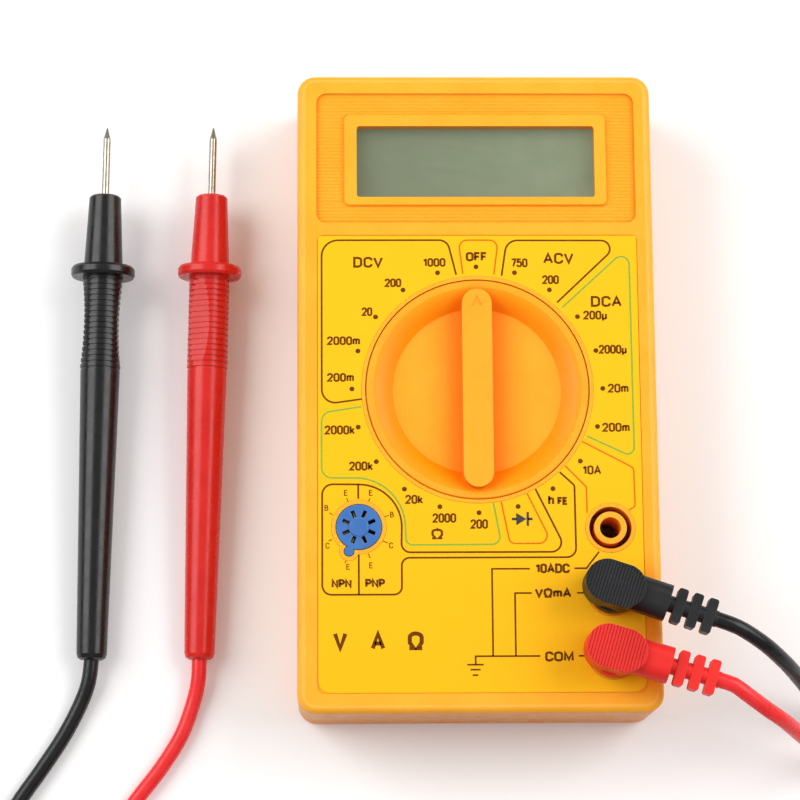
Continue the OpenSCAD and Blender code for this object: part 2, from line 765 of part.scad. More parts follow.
front_case();
rear_cover();
function_label();
lcd_lens();
lcd_glass();
lcd_holder();
zebra_strips();
circuit_board();
switch_tracks();
chip_blob();
resistors();
film_capacitors();
electrolytic_capacitors();
rectifier_diodes();
trimmer();
shunt_wire();
fuse_glass();
fuse_caps();
fuse_clips();
battery_can();
battery_terminals();
battery_snap();
battery_leads();
shield_foil();
earth_spring();
transistor_socket();
transistor_contacts();
jack_sleeves();
case_screws();
board_screws();
knob();
knob_contacts();
detent_spring(-1);  // detent_spring_left
detent_spring(1);  // detent_spring_right
detent_ball(-1);  // detent_ball_left
detent_ball(1);  // detent_ball_right
color(black) plug_body(1, black_arm);  // black_plug_body
plug_pin(1, black_arm);  // black_plug_pin
color(black) plug_relief(1, black_arm);  // black_plug_relief
color(red) plug_body(2, red_arm);  // red_plug_body
plug_pin(2, red_arm);  // red_plug_pin
color(red) plug_relief(2, red_arm);  // red_plug_relief
color(black) tube(black_run, cord_d);  // black_cord_run
color(black) coil(black_coil_at, coil_out);  // black_cord_coil
color(black) tube(black_tail, cord_d);  // black_cord_tail
color("#e9e9e4") tie(black_coil_at, coil_out, 1);  // black_cord_tie
color(red) tube(red_run, cord_d);  // red_cord_run
color(red) coil(red_coil_at, coil_out);  // red_cord_coil
color(red) tube(red_tail, cord_d);  // red_cord_tail
color("#e9e9e4") tie(red_coil_at, coil_out, -1);  // red_cord_tie
color(black) probe_handle(black_end, black_heading, 0);  // black_probe_handle
probe_needle(black_end, black_heading);  // black_probe_needle
color(red) probe_handle(red_end, red_heading, 60);  // red_probe_handle
probe_needle(red_end, red_heading);  // red_probe_needle
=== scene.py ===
"""Looks of a pocket digital multimeter and its two test leads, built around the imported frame.

The frame gives the case, knob, sockets, plugs and probes. This script adds the two cords, the print on the
label, every material, the camera, the floor and the lights. Lengths are in metres; tables of places on the
label are in millimetres, as they would be on the print's drawing.
"""

import json
import math

import bmesh
import bpy
import numpy as np
from mathutils import Matrix, Vector


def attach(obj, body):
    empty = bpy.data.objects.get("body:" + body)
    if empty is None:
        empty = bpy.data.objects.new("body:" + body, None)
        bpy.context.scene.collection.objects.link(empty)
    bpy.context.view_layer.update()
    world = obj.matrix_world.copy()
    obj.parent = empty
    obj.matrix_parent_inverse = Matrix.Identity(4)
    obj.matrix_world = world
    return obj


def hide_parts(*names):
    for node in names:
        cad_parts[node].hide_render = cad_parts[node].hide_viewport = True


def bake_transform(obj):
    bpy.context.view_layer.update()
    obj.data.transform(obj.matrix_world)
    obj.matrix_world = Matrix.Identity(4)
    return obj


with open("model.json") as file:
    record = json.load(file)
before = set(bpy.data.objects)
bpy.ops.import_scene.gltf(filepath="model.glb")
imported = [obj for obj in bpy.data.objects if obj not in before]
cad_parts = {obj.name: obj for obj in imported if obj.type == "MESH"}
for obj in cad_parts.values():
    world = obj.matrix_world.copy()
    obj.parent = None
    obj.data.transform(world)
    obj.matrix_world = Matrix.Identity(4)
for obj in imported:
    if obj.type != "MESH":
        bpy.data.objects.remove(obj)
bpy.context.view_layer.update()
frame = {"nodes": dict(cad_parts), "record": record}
MM = 0.001

# Camera: place in millimetres, angles in degrees, lens and sensor in millimetres
CAMERA_AT = (-28.16, -112.23, 561.59)
CAMERA_PITCH = 11.521
CAMERA_YAW = -1.394
CAMERA_ROLL = -0.405
CAMERA_LENS = 127.29
CAMERA_SENSOR = 36
CAMERA_SEES_FROM = 0.01
CAMERA_SEES_TO = 20

# Cords: diameter, sides of the tube, distance between its rings, how far it reaches into the plug and the
# handle, and the same routes as in the CAD source, in millimetres
CORD_D = 3.0
CORD_SIDES = 16
CORD_STEP = 1.5
TUCK = 1.0
BLACK_RUN = [
    (44.74, -46.5, 30.5), (47.3, -47.4, 30.4), (49.8, -48.5, 29.7), (54.2, -51, 27), (58.8, -54, 21.8),
    (62.3, -56.3, 15.5), (66, -58.8, 8.6), (70.5, -61.8, 3.9), (76, -65.5, 1.8), (82, -70.2, 1.5),
    (87, -75.5, 1.5), (90.5, -82, 1.5), (93, -97, 1.5), (90.5, -113, 1.5), (87, -120.5, 1.5),
    (81.5, -127, 1.5), (75, -132, 1.5), (67, -135, 1.5), (58, -136, 1.5), (48, -136, 1.5),
    (28, -136, 1.5), (8, -136, 1.5), (-12, -136, 1.5), (-30, -136, 1.5),
]
BLACK_TAIL = [
    (-30, -136, 4.5), (-39, -136, 4.4), (-48, -136, 2.8), (-57, -135.6, 1.6), (-65.5, -133.8, 1.5),
    (-73.5, -130.6, 1.5), (-81, -126, 1.5), (-87.5, -119.6, 1.5), (-92.5, -112, 1.5), (-95.6, -103.5, 1.5),
    (-96.4, -95, 1.5), (-94.4, -86.5, 1.5), (-90, -78.6, 1.5), (-85.3, -71.8, 1.5), (-81.1, -65.3, 1.5),
    (-78, -59.2, 1.7), (-76.4, -54.9, 2.6), (-75.86, -50.6, 3),
]
RED_RUN = [
    (44.96, -58.02, 30.5), (47.3, -58.8, 30.4), (49.4, -60.2, 29.8), (53.8, -63, 27.1), (57.6, -65, 23.7),
    (61.7, -67, 16.8), (65.2, -68.6, 10.7), (69, -70.4, 5.7), (73.2, -72.6, 2.6), (77, -75.3, 1.6),
    (80.1, -79.3, 1.5), (80.4, -84.2, 1.5), (77.7, -88.2, 1.5), (72.6, -90, 1.5), (64, -90, 1.5),
    (56, -90, 1.5), (48, -90, 1.5), (40, -90, 1.5),
]
RED_TAIL = [
    (40, -90, 4.5), (31, -90, 4.4), (22, -90, 2.8), (13, -90, 1.6), (4, -90, 1.5), (-6, -90, 1.5),
    (-16, -90, 1.5), (-26, -90, 1.5), (-35, -90.2, 1.5), (-44, -91.6, 1.5), (-52.5, -93.8, 1.5),
    (-60, -94.6, 1.5), (-66.4, -92.8, 1.5), (-70, -88.2, 1.5), (-69.8, -82.6, 1.5), (-66.5, -77.6, 1.5),
    (-61.9, -71.6, 1.5), (-58.1, -65.4, 1.5), (-55.9, -59.4, 1.7), (-54.8, -54.9, 2.6), (-54.6, -50.6, 3),
]
COIL_OUT = 20.0
BLACK_COIL_AT = (-30.0, -116.0)
RED_COIL_AT = (40.0, -110.0)
COIL_POINTS_PER_TURN = 36

# Print on the label, in millimetres: heights of the label's surface and of the ink, then the dial's dots
LABEL_Z = 23.95
INK_BOTTOM = LABEL_Z - 0.01
INK_TOP = LABEL_Z + 0.03
KNOB_AT = (0.0, -0.4)
DOT_CIRCLE = 24.4
DOT_R = 0.47
POSITIONS = 20
# Width of the printed strokes
ZONE_STROKE = 0.34
GREEN_STROKE = 0.33
ORANGE_STROKE = 0.28
SOCKET_STROKE = 0.32
TICK_STROKE = 0.16
DIAL_STROKE = 0.36
NAME_STROKE = 0.44
SLOT_STROKE = 0.17
TITLE_STROKE = 0.78
DIODE_STROKE = 0.5


# ---------------------------------------------------------------- camera


def make_camera():
    data = bpy.data.cameras.new("camera")
    data.sensor_width = CAMERA_SENSOR
    data.lens = CAMERA_LENS
    data.clip_start = CAMERA_SEES_FROM
    data.clip_end = CAMERA_SEES_TO
    camera = bpy.data.objects.new("camera", data)
    turn = (
        Matrix.Rotation(math.radians(CAMERA_YAW), 4, "Y")
        @ Matrix.Rotation(math.radians(CAMERA_PITCH), 4, "X")
        @ Matrix.Rotation(math.radians(CAMERA_ROLL), 4, "Z")
    )
    camera.matrix_world = Matrix.Translation(Vector(CAMERA_AT) * MM) @ turn
    bpy.context.scene.collection.objects.link(camera)
    bpy.context.scene.camera = camera


# ---------------------------------------------------------------- meshes


def object_from(bm, name):
    """A new object that takes over the bmesh, with smooth faces where they meet at a shallow angle."""
    mesh = bpy.data.meshes.new(name)
    bmesh.ops.recalc_face_normals(bm, faces=bm.faces)
    bm.to_mesh(mesh)
    bm.free()
    mesh.shade_smooth()
    mesh.set_sharp_from_angle(angle=math.radians(40))
    thing = bpy.data.objects.new(name, mesh)
    bpy.context.scene.collection.objects.link(thing)
    return thing


def smooth_line(points, step):
    """Points about step apart on a Catmull-Rom curve through the given ones."""
    p = np.array(points, float)
    before = np.vstack([2 * p[0] - p[1], p[:-1]])
    after = np.vstack([p[1:], 2 * p[-1] - p[-2]])
    slopes = (after - before) / 2
    line = []
    for i in range(len(p) - 1):
        count = max(1, round(np.linalg.norm(p[i + 1] - p[i]) / step))
        for k in range(count):
            t = k / count
            line.append(
                (2 * t**3 - 3 * t**2 + 1) * p[i]
                + (t**3 - 2 * t**2 + t) * slopes[i]
                + (3 * t**2 - 2 * t**3) * p[i + 1]
                + (t**3 - t**2) * slopes[i + 1]
            )
    line.append(p[-1])
    return np.array(line)


def coil_line(centre, entry_deg, way, turns):
    """A hand-wound coil: half its turns spiral in on the floor, and the rest spiral out on top of them."""
    count = int(turns * COIL_POINTS_PER_TURN)
    step_up = COIL_POINTS_PER_TURN / 4
    line = []
    for i in range(1, count):
        angle = math.radians(entry_deg + way * 360 * i / COIL_POINTS_PER_TURN)
        inward = min(i, count - i) / COIL_POINTS_PER_TURN
        radius = COIL_OUT - CORD_D * inward
        rise = min(1, max(0, 0.5 + (i - count / 2) / step_up))
        height = CORD_D / 2 + CORD_D * rise * rise * (3 - 2 * rise)
        line.append((centre[0] + radius * math.cos(angle), centre[1] + radius * math.sin(angle), height))
    return line


def tube_mesh(bm, line, radius, sides):
    """A round tube with closed ends along the line. Its rings turn as little as they can on the way."""
    ahead = np.diff(line, axis=0)
    ahead /= np.linalg.norm(ahead, axis=1)[:, None]
    tangents = np.vstack([ahead[:1], ahead[:-1] + ahead[1:], ahead[-1:]])
    tangents /= np.linalg.norm(tangents, axis=1)[:, None]
    side = np.cross(tangents[0], (0, 0, 1))
    rings = []
    for place, along in zip(line, tangents):
        side = side - along * (side @ along)
        side /= np.linalg.norm(side)
        up = np.cross(side, along)
        ring = []
        for k in range(sides):
            a = 2 * math.pi * k / sides
            ring.append(bm.verts.new(place + radius * (math.cos(a) * side + math.sin(a) * up)))
        rings.append(ring)
    for low, high in zip(rings, rings[1:]):
        for k in range(sides):
            bm.faces.new((low[k], low[(k + 1) % sides], high[(k + 1) % sides], high[k]))
    bm.faces.new(rings[0])
    bm.faces.new(rings[-1])


def stretched(points, back, on):
    """The points with one more before the start and one more after the end, in line with the ends."""
    p = np.array(points, float)
    first = p[0] + (p[0] - p[1]) / np.linalg.norm(p[0] - p[1]) * back
    last = p[-1] + (p[-1] - p[-2]) / np.linalg.norm(p[-1] - p[-2]) * on
    return np.vstack([first, p, last])


def make_cord(colour, run, coil, tail):
    """One cord from its plug to its probe, tucked a little into both."""
    line = smooth_line(stretched([*run, *coil, *tail], TUCK, TUCK), CORD_STEP) * MM
    bm = bmesh.new()
    tube_mesh(bm, line, CORD_D / 2 * MM, CORD_SIDES)
    cord = object_from(bm, f"{colour}_cord")
    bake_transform(cord)
    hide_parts(f"{colour}_cord_run", f"{colour}_cord_coil", f"{colour}_cord_tail")
    return cord


# ---------------------------------------------------------------- print on the label


def rounded_line(corners):
    """The corners as a line in millimetres. A corner is x, y or x, y and the radius of its round."""
    line = []
    for i, corner in enumerate(corners):
        here = Vector(corner[:2])
        if len(corner) == 2:
            line.append(here)
            continue
        to_last = (Vector(corners[i - 1][:2]) - here).normalized()
        to_next = (Vector(corners[i + 1][:2]) - here).normalized()
        half = to_last.angle(to_next) / 2
        reach = corner[2] / math.tan(half)
        middle = here + (to_last + to_next).normalized() * (corner[2] / math.sin(half))
        start = here + to_last * reach - middle
        turn = (here + to_next * reach - middle).angle_signed(start)
        steps = max(3, round(abs(math.degrees(turn)) / 12))
        for k in range(steps + 1):
            line.append(middle + Matrix.Rotation(turn * k / steps, 2) @ start)
    return line


def arc(centre, radius, from_deg, to_deg):
    """Points on a circle, every six degrees or so."""
    steps = max(2, round(abs(to_deg - from_deg) / 6))
    angles = [math.radians(from_deg + (to_deg - from_deg) * k / steps) for k in range(steps + 1)]
    return [(centre[0] + radius * math.cos(a), centre[1] + radius * math.sin(a)) for a in angles]


def ink_line(bm, corners, width):
    """A flat printed line, as a thin closed solid."""
    line = rounded_line(corners)
    rows = []
    for i, here in enumerate(line):
        into = (here - line[i - 1]).normalized() if i else None
        out = (line[i + 1] - here).normalized() if i + 1 < len(line) else None
        along = ((into or out) + (out or into)).normalized()
        stretch = along.dot(into or out)
        aside = Vector((-along.y, along.x)) * (width / 2 / max(0.5, stretch))
        row = []
        for edge in (here + aside, here - aside):
            for z in (INK_TOP, INK_BOTTOM):
                row.append(bm.verts.new(Vector((edge.x, edge.y, z)) * MM))
        rows.append(row)
    for a, b in zip(rows, rows[1:]):
        for p, q in ((0, 2), (2, 3), (3, 1), (1, 0)):
            bm.faces.new((a[p], a[q], b[q], b[p]))
    for row in (rows[0], rows[-1]):
        bm.faces.new((row[0], row[2], row[3], row[1]))


def ink_area(bm, outline):
    """A flat printed area with straight or finely stepped sides, as a thin closed solid."""
    low = [bm.verts.new(Vector((x, y, INK_BOTTOM)) * MM) for x, y in outline]
    high = [bm.verts.new(Vector((x, y, INK_TOP)) * MM) for x, y in outline]
    bm.faces.new(low)
    bm.faces.new(high)
    for i in range(len(low)):
        j = (i + 1) % len(low)
        bm.faces.new((low[i], low[j], high[j], high[i]))


# Condensed letters as the middle lines of their strokes: width, then lines whose corners are x, y or x, y,
# radius. Capitals are 1 high.
LETTERS = {
    "0": (0.5, [[(0.25, 1), (0.46, 1, 0.2), (0.46, 0, 0.2), (0.04, 0, 0.2), (0.04, 1, 0.2), (0.25, 1)]]),
    "1": (0.34, [[(0.27, 0), (0.27, 1)], [(0.05, 0.74), (0.27, 0.95)]]),
    "2": (0.5, [
        [(0.05, 0.72), (0.05, 1, 0.19), (0.45, 1, 0.19), (0.45, 0.58, 0.12), (0.04, 0), (0.48, 0)],
    ]),
    "5": (0.5, [
        [(0.44, 1), (0.1, 1), (0.06, 0.5)],
        [(0.06, 0.5), (0.12, 0.64, 0.04), (0.46, 0.64, 0.16), (0.46, 0, 0.2), (0.04, 0, 0.19),
         (0.04, 0.24)],
    ]),
    "7": (0.48, [[(0.03, 1), (0.46, 1), (0.2, 0)]]),
    "A": (0.58, [[(0.02, 0), (0.29, 1), (0.56, 0)], [(0.12, 0.33), (0.46, 0.33)]]),
    "B": (0.5, [
        [(0.06, 0.53), (0.4, 0.53, 0.18), (0.4, 1, 0.18), (0.06, 1), (0.06, 0), (0.46, 0, 0.2),
         (0.46, 0.53, 0.2), (0.3, 0.53)],
    ]),
    "C": (0.55, [
        [(0.52, 0.7), (0.52, 1, 0.22), (0.05, 1, 0.22), (0.05, 0, 0.22), (0.52, 0, 0.22), (0.52, 0.3)],
    ]),
    "D": (0.57, [[(0.06, 0.5), (0.06, 1), (0.53, 1, 0.26), (0.53, 0, 0.26), (0.06, 0), (0.06, 0.5)]]),
    "E": (0.5, [[(0.46, 1), (0.06, 1), (0.06, 0), (0.48, 0)], [(0.06, 0.52), (0.43, 0.52)]]),
    "F": (0.47, [[(0.46, 1), (0.06, 1), (0.06, 0)], [(0.06, 0.5), (0.41, 0.5)]]),
    "M": (0.68, [[(0.05, 0), (0.05, 1), (0.34, 0.12), (0.63, 1), (0.63, 0)]]),
    "N": (0.55, [[(0.05, 0), (0.05, 1), (0.5, 0), (0.5, 1)]]),
    "O": (0.6, [
        [(0.3, 1), (0.56, 1, 0.25), (0.56, 0, 0.25), (0.04, 0, 0.25), (0.04, 1, 0.25), (0.3, 1)],
    ]),
    "P": (0.52, [[(0.06, 0), (0.06, 1), (0.49, 1, 0.25), (0.49, 0.46, 0.25), (0.06, 0.46)]]),
    "V": (0.56, [[(0.02, 1), (0.28, 0), (0.54, 1)]]),
    "Ω": (0.62, [
        [(0.02, 0), (0.22, 0), (0.04, 0.38, 0.12), (0.04, 1, 0.27), (0.58, 1, 0.27), (0.58, 0.38, 0.12),
         (0.4, 0), (0.6, 0)],
    ]),
    "µ": (0.45, [
        [(0.06, -0.28), (0.06, 0.68)],
        [(0.06, 0.2), (0.06, 0, 0.12), (0.4, 0, 0.12), (0.4, 0.3)],
        [(0.4, 0.68), (0.4, 0)],
    ]),
    "m": (0.66, [
        [(0.05, 0), (0.05, 0.7)],
        [(0.05, 0.5), (0.05, 0.7, 0.13), (0.33, 0.7, 0.13), (0.33, 0)],
        [(0.33, 0.5), (0.33, 0.7, 0.13), (0.61, 0.7, 0.13), (0.61, 0)],
    ]),
    "k": (0.43, [[(0.05, 0), (0.05, 1)], [(0.4, 0.68), (0.06, 0.3)], [(0.17, 0.42), (0.42, 0)]]),
    "h": (0.45, [[(0.05, 0), (0.05, 1)], [(0.05, 0.45), (0.05, 0.7, 0.15), (0.4, 0.7, 0.15), (0.4, 0)]]),
    " ": (0.3, []),
}
LETTER_GAP = 0.15


def ink_text(bm, text, centre, height, width, stroke):
    """Letters with the given capital height, total width and stroke in millimetres, centred on a point."""
    natural = sum(LETTERS[letter][0] for letter in text) + LETTER_GAP * (len(text) - 1)
    across = (width - stroke) / natural
    up = height - stroke
    left = centre[0] - natural * across / 2
    low = centre[1] - up / 2
    for letter in text:
        advance, lines = LETTERS[letter]
        for line in lines:
            ink_line(bm, [(left + p.x * across, low + p.y * up) for p in rounded_line(line)], stroke)
        left += (advance + LETTER_GAP) * across


HFE_AT = (-23.2, -27.5)
BROWN_LINES = [
    # DCV zone
    [(-3.9, 22.4), (-5.6, 29.4, 2.0), (-30.25, 29.4, 3.2), (-30.25, -3.5, 2.6), (-22.5, -2.4)],
    # ACV zone
    [(5.0, 22.2), (6.1, 29.35, 2.4), (28.9, 29.3, 1.7), (15.8, 16.8)],
    # Transistor zone: outer side, round the socket, and back to the knob
    [(15.7, -16.9), (18.5, -19.5, 0.8), (18.6, -33.5, 1.8), (-14.95, -33.5, 1.5), (-14.95, -40.6, 1.5),
     (-30.2, -40.6, 1.8), (-30.2, -19.15, 2.0), *arc(HFE_AT, 8.3, 90, 2), (-15.0, -32.45, 1.7),
     (16.9, -32.45, 1.9), (10.95, -20.2)],
    [(-23.25, -19.2), (-23.25, -22.0)],
    [(-23.2, -32.9), (-23.2, -40.6)],
]
GREEN_LINES = [
    # DCA zone
    [(16.8, 15.8), (30.1, 28.1, 1.6), (30.25, -14.1, 1.3), (21.1, -9.8)],
    # Resistance zone
    [(-22.6, -3.9), (-30.3, -5.1, 2.0), (-30.3, -17.9, 2.0), *arc((-23.9, -27.6), 9.7, 92, 2),
     (-14.1, -31.0, 1.3), (4.25, -30.95, 1.5), (2.8, -22.9)],
]
ORANGE_LINES = [
    # OFF zone
    [(-2.6, 22.6), (-3.4, 29.4, 1.5), (4.4, 29.4, 1.5), (3.5, 22.5)],
    # Diode zone
    [(4.3, -22.6), (5.9, -30.8, 1.2), (14.0, -30.8, 1.6), (9.35, -21.1)],
    # 10 A zone, on both sides of its socket
    [(20.2, -10.9), (30.05, -16.1, 1.1), (30.15, -23.6, 0.5), (28.95, -24.4)],
    [(16.8, -15.7), (20.8, -19.8, 0.6), (20.85, -24.9)],
]
# Lines from the socket names, with the earth sign
SOCKET_LINES = [
    [(18.2, -35.65), (20.5, -35.65), (23.0, -32.45)],
    [(9.6, -35.7), (2.35, -35.7), (2.35, -52.5)],
    [(9.9, -40.4), (6.7, -40.4), (6.7, -52.5)],
    [(18.6, -40.4), (20.3, -40.4)],
    [(11.35, -52.5), (-1.0, -52.5), (-1.0, -54.1)],
    [(18.7, -52.5), (20.2, -52.5)],
    [(-2.6, -54.1), (0.5, -54.1)],
    [(-2.0, -55.05), (-0.1, -55.05)],
    [(-1.6, -56.1), (-0.55, -56.1)],
]
# Ticks that point at the transistor socket's slots
SLOT_TICKS = [
    [(-25.5, -21.85), (-25.2, -22.6)], [(-21.0, -21.9), (-21.3, -22.6)],
    [(-28.8, -24.7), (-28.25, -25.1)], [(-18.2, -25.55), (-17.4, -25.25)],
    [(-29.0, -30.2), (-28.3, -29.9)], [(-18.55, -30.2), (-17.6, -30.65)],
    [(-25.5, -33.7), (-25.85, -34.5)], [(-21.35, -32.7), (-21.0, -33.55)],
]
# Text, centre, capital height, width
DIAL_TEXT = [
    ("1000", (-8.2, 24.9), 1.75, 4.6), ("200", (-16.3, 20.8), 1.75, 3.4), ("20", (-21.4, 15.0), 1.75, 2.2),
    ("2000m", (-26.0, 9.2), 1.75, 6.6), ("200m", (-26.6, 1.9), 1.75, 5.4),
    ("750", (8.5, 24.8), 1.8, 3.4), ("200", (14.6, 21.4), 1.8, 3.4),
    ("200µ", (23.2, 14.25), 1.8, 4.8), ("2000µ", (26.5, 7.4), 1.8, 5.6),
    ("20m", (27.4, -0.35), 1.8, 4.2), ("200m", (26.8, -8.1), 1.8, 5.5), ("10A", (21.9, -16.5), 1.8, 3.8),
    ("2000k", (-26.8, -8.5), 1.8, 6.0), ("200k", (-22.7, -15.6), 1.8, 4.75),
    ("20k", (-12.5, -22.15), 1.8, 3.55), ("2000", (-6.7, -25.8), 1.85, 4.7),
    ("200", (0.0, -27.0), 1.85, 3.5),
]
NAME_TEXT = [
    ("DCV", (-21.2, 24.95), 2.2, 6.05), ("ACV", (16.2, 25.7), 2.25, 6.1), ("DCA", (25.4, 17.0), 2.2, 6.3),
    ("OFF", (0.1, 26.05), 1.9, 4.3), ("Ω", (-8.1, -28.9), 2.1, 2.5),
    ("h", (13.95, -22.35), 2.0, 1.4), ("FE", (16.15, -22.55), 1.6, 2.2),
    ("NPN", (-26.5, -38.45), 1.75, 4.05), ("PNP", (-20.1, -38.4), 1.75, 4.0),
    ("10ADC", (13.95, -35.65), 1.9, 6.8), ("VΩmA", (14.0, -40.4), 1.85, 7.15),
    ("COM", (15.0, -52.6), 1.95, 5.7),
]
# Text and centre of the letters round the transistor socket, all of one capital height and width
SLOT_TEXT = [
    ("E", (-25.65, -20.85)), ("E", (-20.85, -20.85)), ("B", (-29.4, -23.75)), ("B", (-16.8, -25.1)),
    ("C", (-29.2, -31.1)), ("C", (-17.0, -31.1)), ("E", (-25.25, -35.2)), ("E", (-20.85, -34.95)),
]
SLOT_CAPITAL = (1.15, 0.85)
# Generic title: the three quantities that the meter measures
TITLE_TEXT = [
    ("V", (-26.8, -49.5), 3.6, 2.9), ("A", (-19.6, -49.5), 3.6, 2.9), ("Ω", (-12.4, -49.5), 3.6, 3.4),
]
DIODE_AT = (8.3, -26.05)


def make_print():
    """The ink on the label: one piece per colour."""
    brown = bmesh.new()
    strokes = ((BROWN_LINES, ZONE_STROKE), (SOCKET_LINES, SOCKET_STROKE), (SLOT_TICKS, TICK_STROKE))
    for lines, stroke in strokes:
        for line in lines:
            ink_line(brown, line, stroke)
    for i in range(POSITIONS):
        angle = math.radians(90 + 360 * i / POSITIONS)
        dot = (KNOB_AT[0] + DOT_CIRCLE * math.cos(angle), KNOB_AT[1] + DOT_CIRCLE * math.sin(angle))
        ink_area(brown, arc(dot, DOT_R, 0, 342))
    for text, centre, height, width in DIAL_TEXT:
        ink_text(brown, text, centre, height, width, DIAL_STROKE)
    for text, centre, height, width in NAME_TEXT:
        ink_text(brown, text, centre, height, width, NAME_STROKE)
    for text, centre in SLOT_TEXT:
        ink_text(brown, text, centre, *SLOT_CAPITAL, SLOT_STROKE)
    for text, centre, height, width in TITLE_TEXT:
        ink_text(brown, text, centre, height, width, TITLE_STROKE)
    green = bmesh.new()
    for line in GREEN_LINES:
        ink_line(green, line, GREEN_STROKE)
    orange = bmesh.new()
    for line in ORANGE_LINES:
        ink_line(orange, line, ORANGE_STROKE)
    x, y = DIODE_AT
    slate = bmesh.new()
    ink_area(slate, [(x - 1.15, y - 1.2), (x + 0.85, y), (x - 1.15, y + 1.2)])
    ink_area(slate, [(x + 0.85, y - 1.35), (x + 1.3, y - 1.35), (x + 1.3, y + 1.35), (x + 0.85, y + 1.35)])
    for end in (-1, 1):
        ink_line(slate, [(x + end * 2.0, y), (x + end * 1.1, y)], DIODE_STROKE)
    pieces = {"brown": brown, "green": green, "orange": orange, "slate": slate}
    made = {}
    for colour, bm in pieces.items():
        made[colour] = object_from(bm, f"print_{colour}")
        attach(made[colour], "case")
    return made


# ---------------------------------------------------------------- materials

# Amber plastic: how far light spreads under its skin in red, green and blue, as shares of a depth in
# millimetres, how much of the light does so, and the widest crease that gets painted shade
SKIN_SPREAD = (1.0, 0.3, 0.04)
SKIN_DEPTH = 1.2
SKIN_SHARE = 0.4
CREASE_SHADE_REACH = 8
# Painted light by how much it faces up, from upright walls to flats: painted shade on upright walls and a
# painted highlight on the case's slopes, painted shade on the knob's; upward share, colour, strength
CASE_PAINTED_LIGHT = [
    (0.15, (222, 146, 44), 1), (0.6, (255, 179, 48), 0), (0.94, (255, 192, 96), 0),
    (0.975, (255, 192, 96), 1), (0.998, (255, 192, 96), 0),
]
# Painted shade: the knob's slopes and walls a deeper orange
KNOB_PAINTED_SHADE = [
    (0.15, (250, 140, 10), 1), (0.7, (255, 150, 0), 1), (0.97, (255, 154, 2), 1),
    (0.999, (255, 160, 20), 0),
]
# Amber plastics also have: painted light by slope, colour of the painted shade in creases
AMBER = {
    "case_abs": (CASE_PAINTED_LIGHT, (250, 146, 14)),
    "cover_abs": (CASE_PAINTED_LIGHT, (226, 120, 4)),
    "knob_abs": (KNOB_PAINTED_SHADE, (250, 128, 0)),
}
# Moulded plastics: light, deep and rubbed colour, then roughness and gloss, then the size of the grain, its
# height and the rounding of edges in millimetres
MOULDED = {
    "case_abs": ((255, 179, 48), (253, 173, 42), (255, 190, 72), (0.36, 0.2), (0.16, 0.003, 0.06)),
    "cover_abs": ((254, 174, 46), (251, 167, 40), (255, 184, 70), (0.42, 0.2), (0.16, 0.008, 0.2)),
    "knob_abs": ((255, 173, 42), (253, 167, 36), (255, 186, 66), (0.38, 0.2), (0.14, 0.004, 0.3)),
    "white_plastic": ((232, 232, 226), (222, 222, 214), (240, 240, 236), (0.45, 0.5), (0.15, 0.006, 0.15)),
    "dark_rubber": ((40, 40, 42), (28, 28, 30), (70, 70, 72), (0.7, 0.5), (0.2, 0.01, 0.1)),
    "board": ((150, 122, 66), (134, 106, 52), (170, 142, 86), (0.5, 0.5), (0.3, 0.01, 0.1)),
    "black_resin": ((26, 26, 28), (16, 16, 18), (50, 50, 52), (0.3, 0.5), (0.4, 0.01, 0.1)),
    "resistor_body": ((198, 168, 124), (182, 150, 104), (214, 186, 146), (0.45, 0.5), (0.2, 0.006, 0.08)),
    "film_body": ((150, 52, 34), (134, 42, 26), (176, 80, 60), (0.35, 0.5), (0.2, 0.006, 0.1)),
    "can_sleeve": ((38, 46, 86), (30, 36, 72), (70, 78, 118), (0.3, 0.5), (0.2, 0.006, 0.1)),
    "blue_plastic": ((60, 116, 186), (52, 104, 172), (96, 150, 212), (0.34, 0.5), (0.15, 0.006, 0.15)),
    "fuse_tube": ((206, 218, 218), (190, 204, 204), (226, 234, 234), (0.1, 0.5), (0.3, 0.003, 0.1)),
    "battery_jacket": ((52, 56, 64), (44, 48, 56), (92, 96, 104), (0.3, 0.5), (0.3, 0.006, 0.3)),
    "black_plastic": ((34, 34, 36), (26, 26, 28), (84, 84, 88), (0.42, 0.3), (0.12, 0.008, 0.07)),
    "red_plastic": ((232, 42, 36), (222, 34, 28), (246, 92, 80), (0.4, 0.3), (0.12, 0.008, 0.07)),
    "black_gloss": ((18, 18, 19), (12, 12, 13), (36, 36, 40), (0.26, 0.4), (0.2, 0.006, 0.1)),
    "red_gloss": ((214, 38, 32), (206, 30, 24), (230, 70, 62), (0.26, 0.3), (0.2, 0.006, 0.1)),
}
# How much light passes through
CLEAR = {"fuse_tube": 0.6}
# Metals: colour, roughness, and how the scratches stretch along the axes
METALS = {
    "gold_plate": ((222, 182, 92), 0.3, (1, 6, 1)),
    "shunt_alloy": ((176, 134, 104), 0.35, (1, 1, 6)),
    "nickel": ((178, 170, 156), 0.24, (6, 1, 6)),
    "copper_foil": ((208, 150, 104), 0.35, (1, 3, 1)),
    "spring_steel": ((184, 186, 190), 0.28, (1, 1, 4)),
    "brass": ((206, 168, 88), 0.3, (1, 1, 5)),
    "screw_steel": ((150, 152, 156), 0.35, (3, 1, 1)),
    "ball_steel": ((216, 218, 222), 0.12, (1, 1, 1)),
}
# Share of its light that a metal keeps where it is tarnished
TARNISH = 0.72
# Soft sheaths: light and deep colour, roughness
SHEATHS = {
    "red_wire": ((190, 40, 40), (170, 30, 30), 0.35),
    "black_pvc": ((18, 18, 19), (12, 12, 13), 0.3),
    "red_pvc": ((240, 46, 48), (228, 36, 38), 0.3),
}
# Inks: full and thin colour
INKS = {
    "brown": ((92, 48, 4), (116, 66, 8)),
    "green": ((122, 168, 62), (140, 180, 70)),
    "orange": ((216, 94, 22), (226, 116, 24)),
    "slate": ((58, 58, 62), (74, 72, 70)),
}


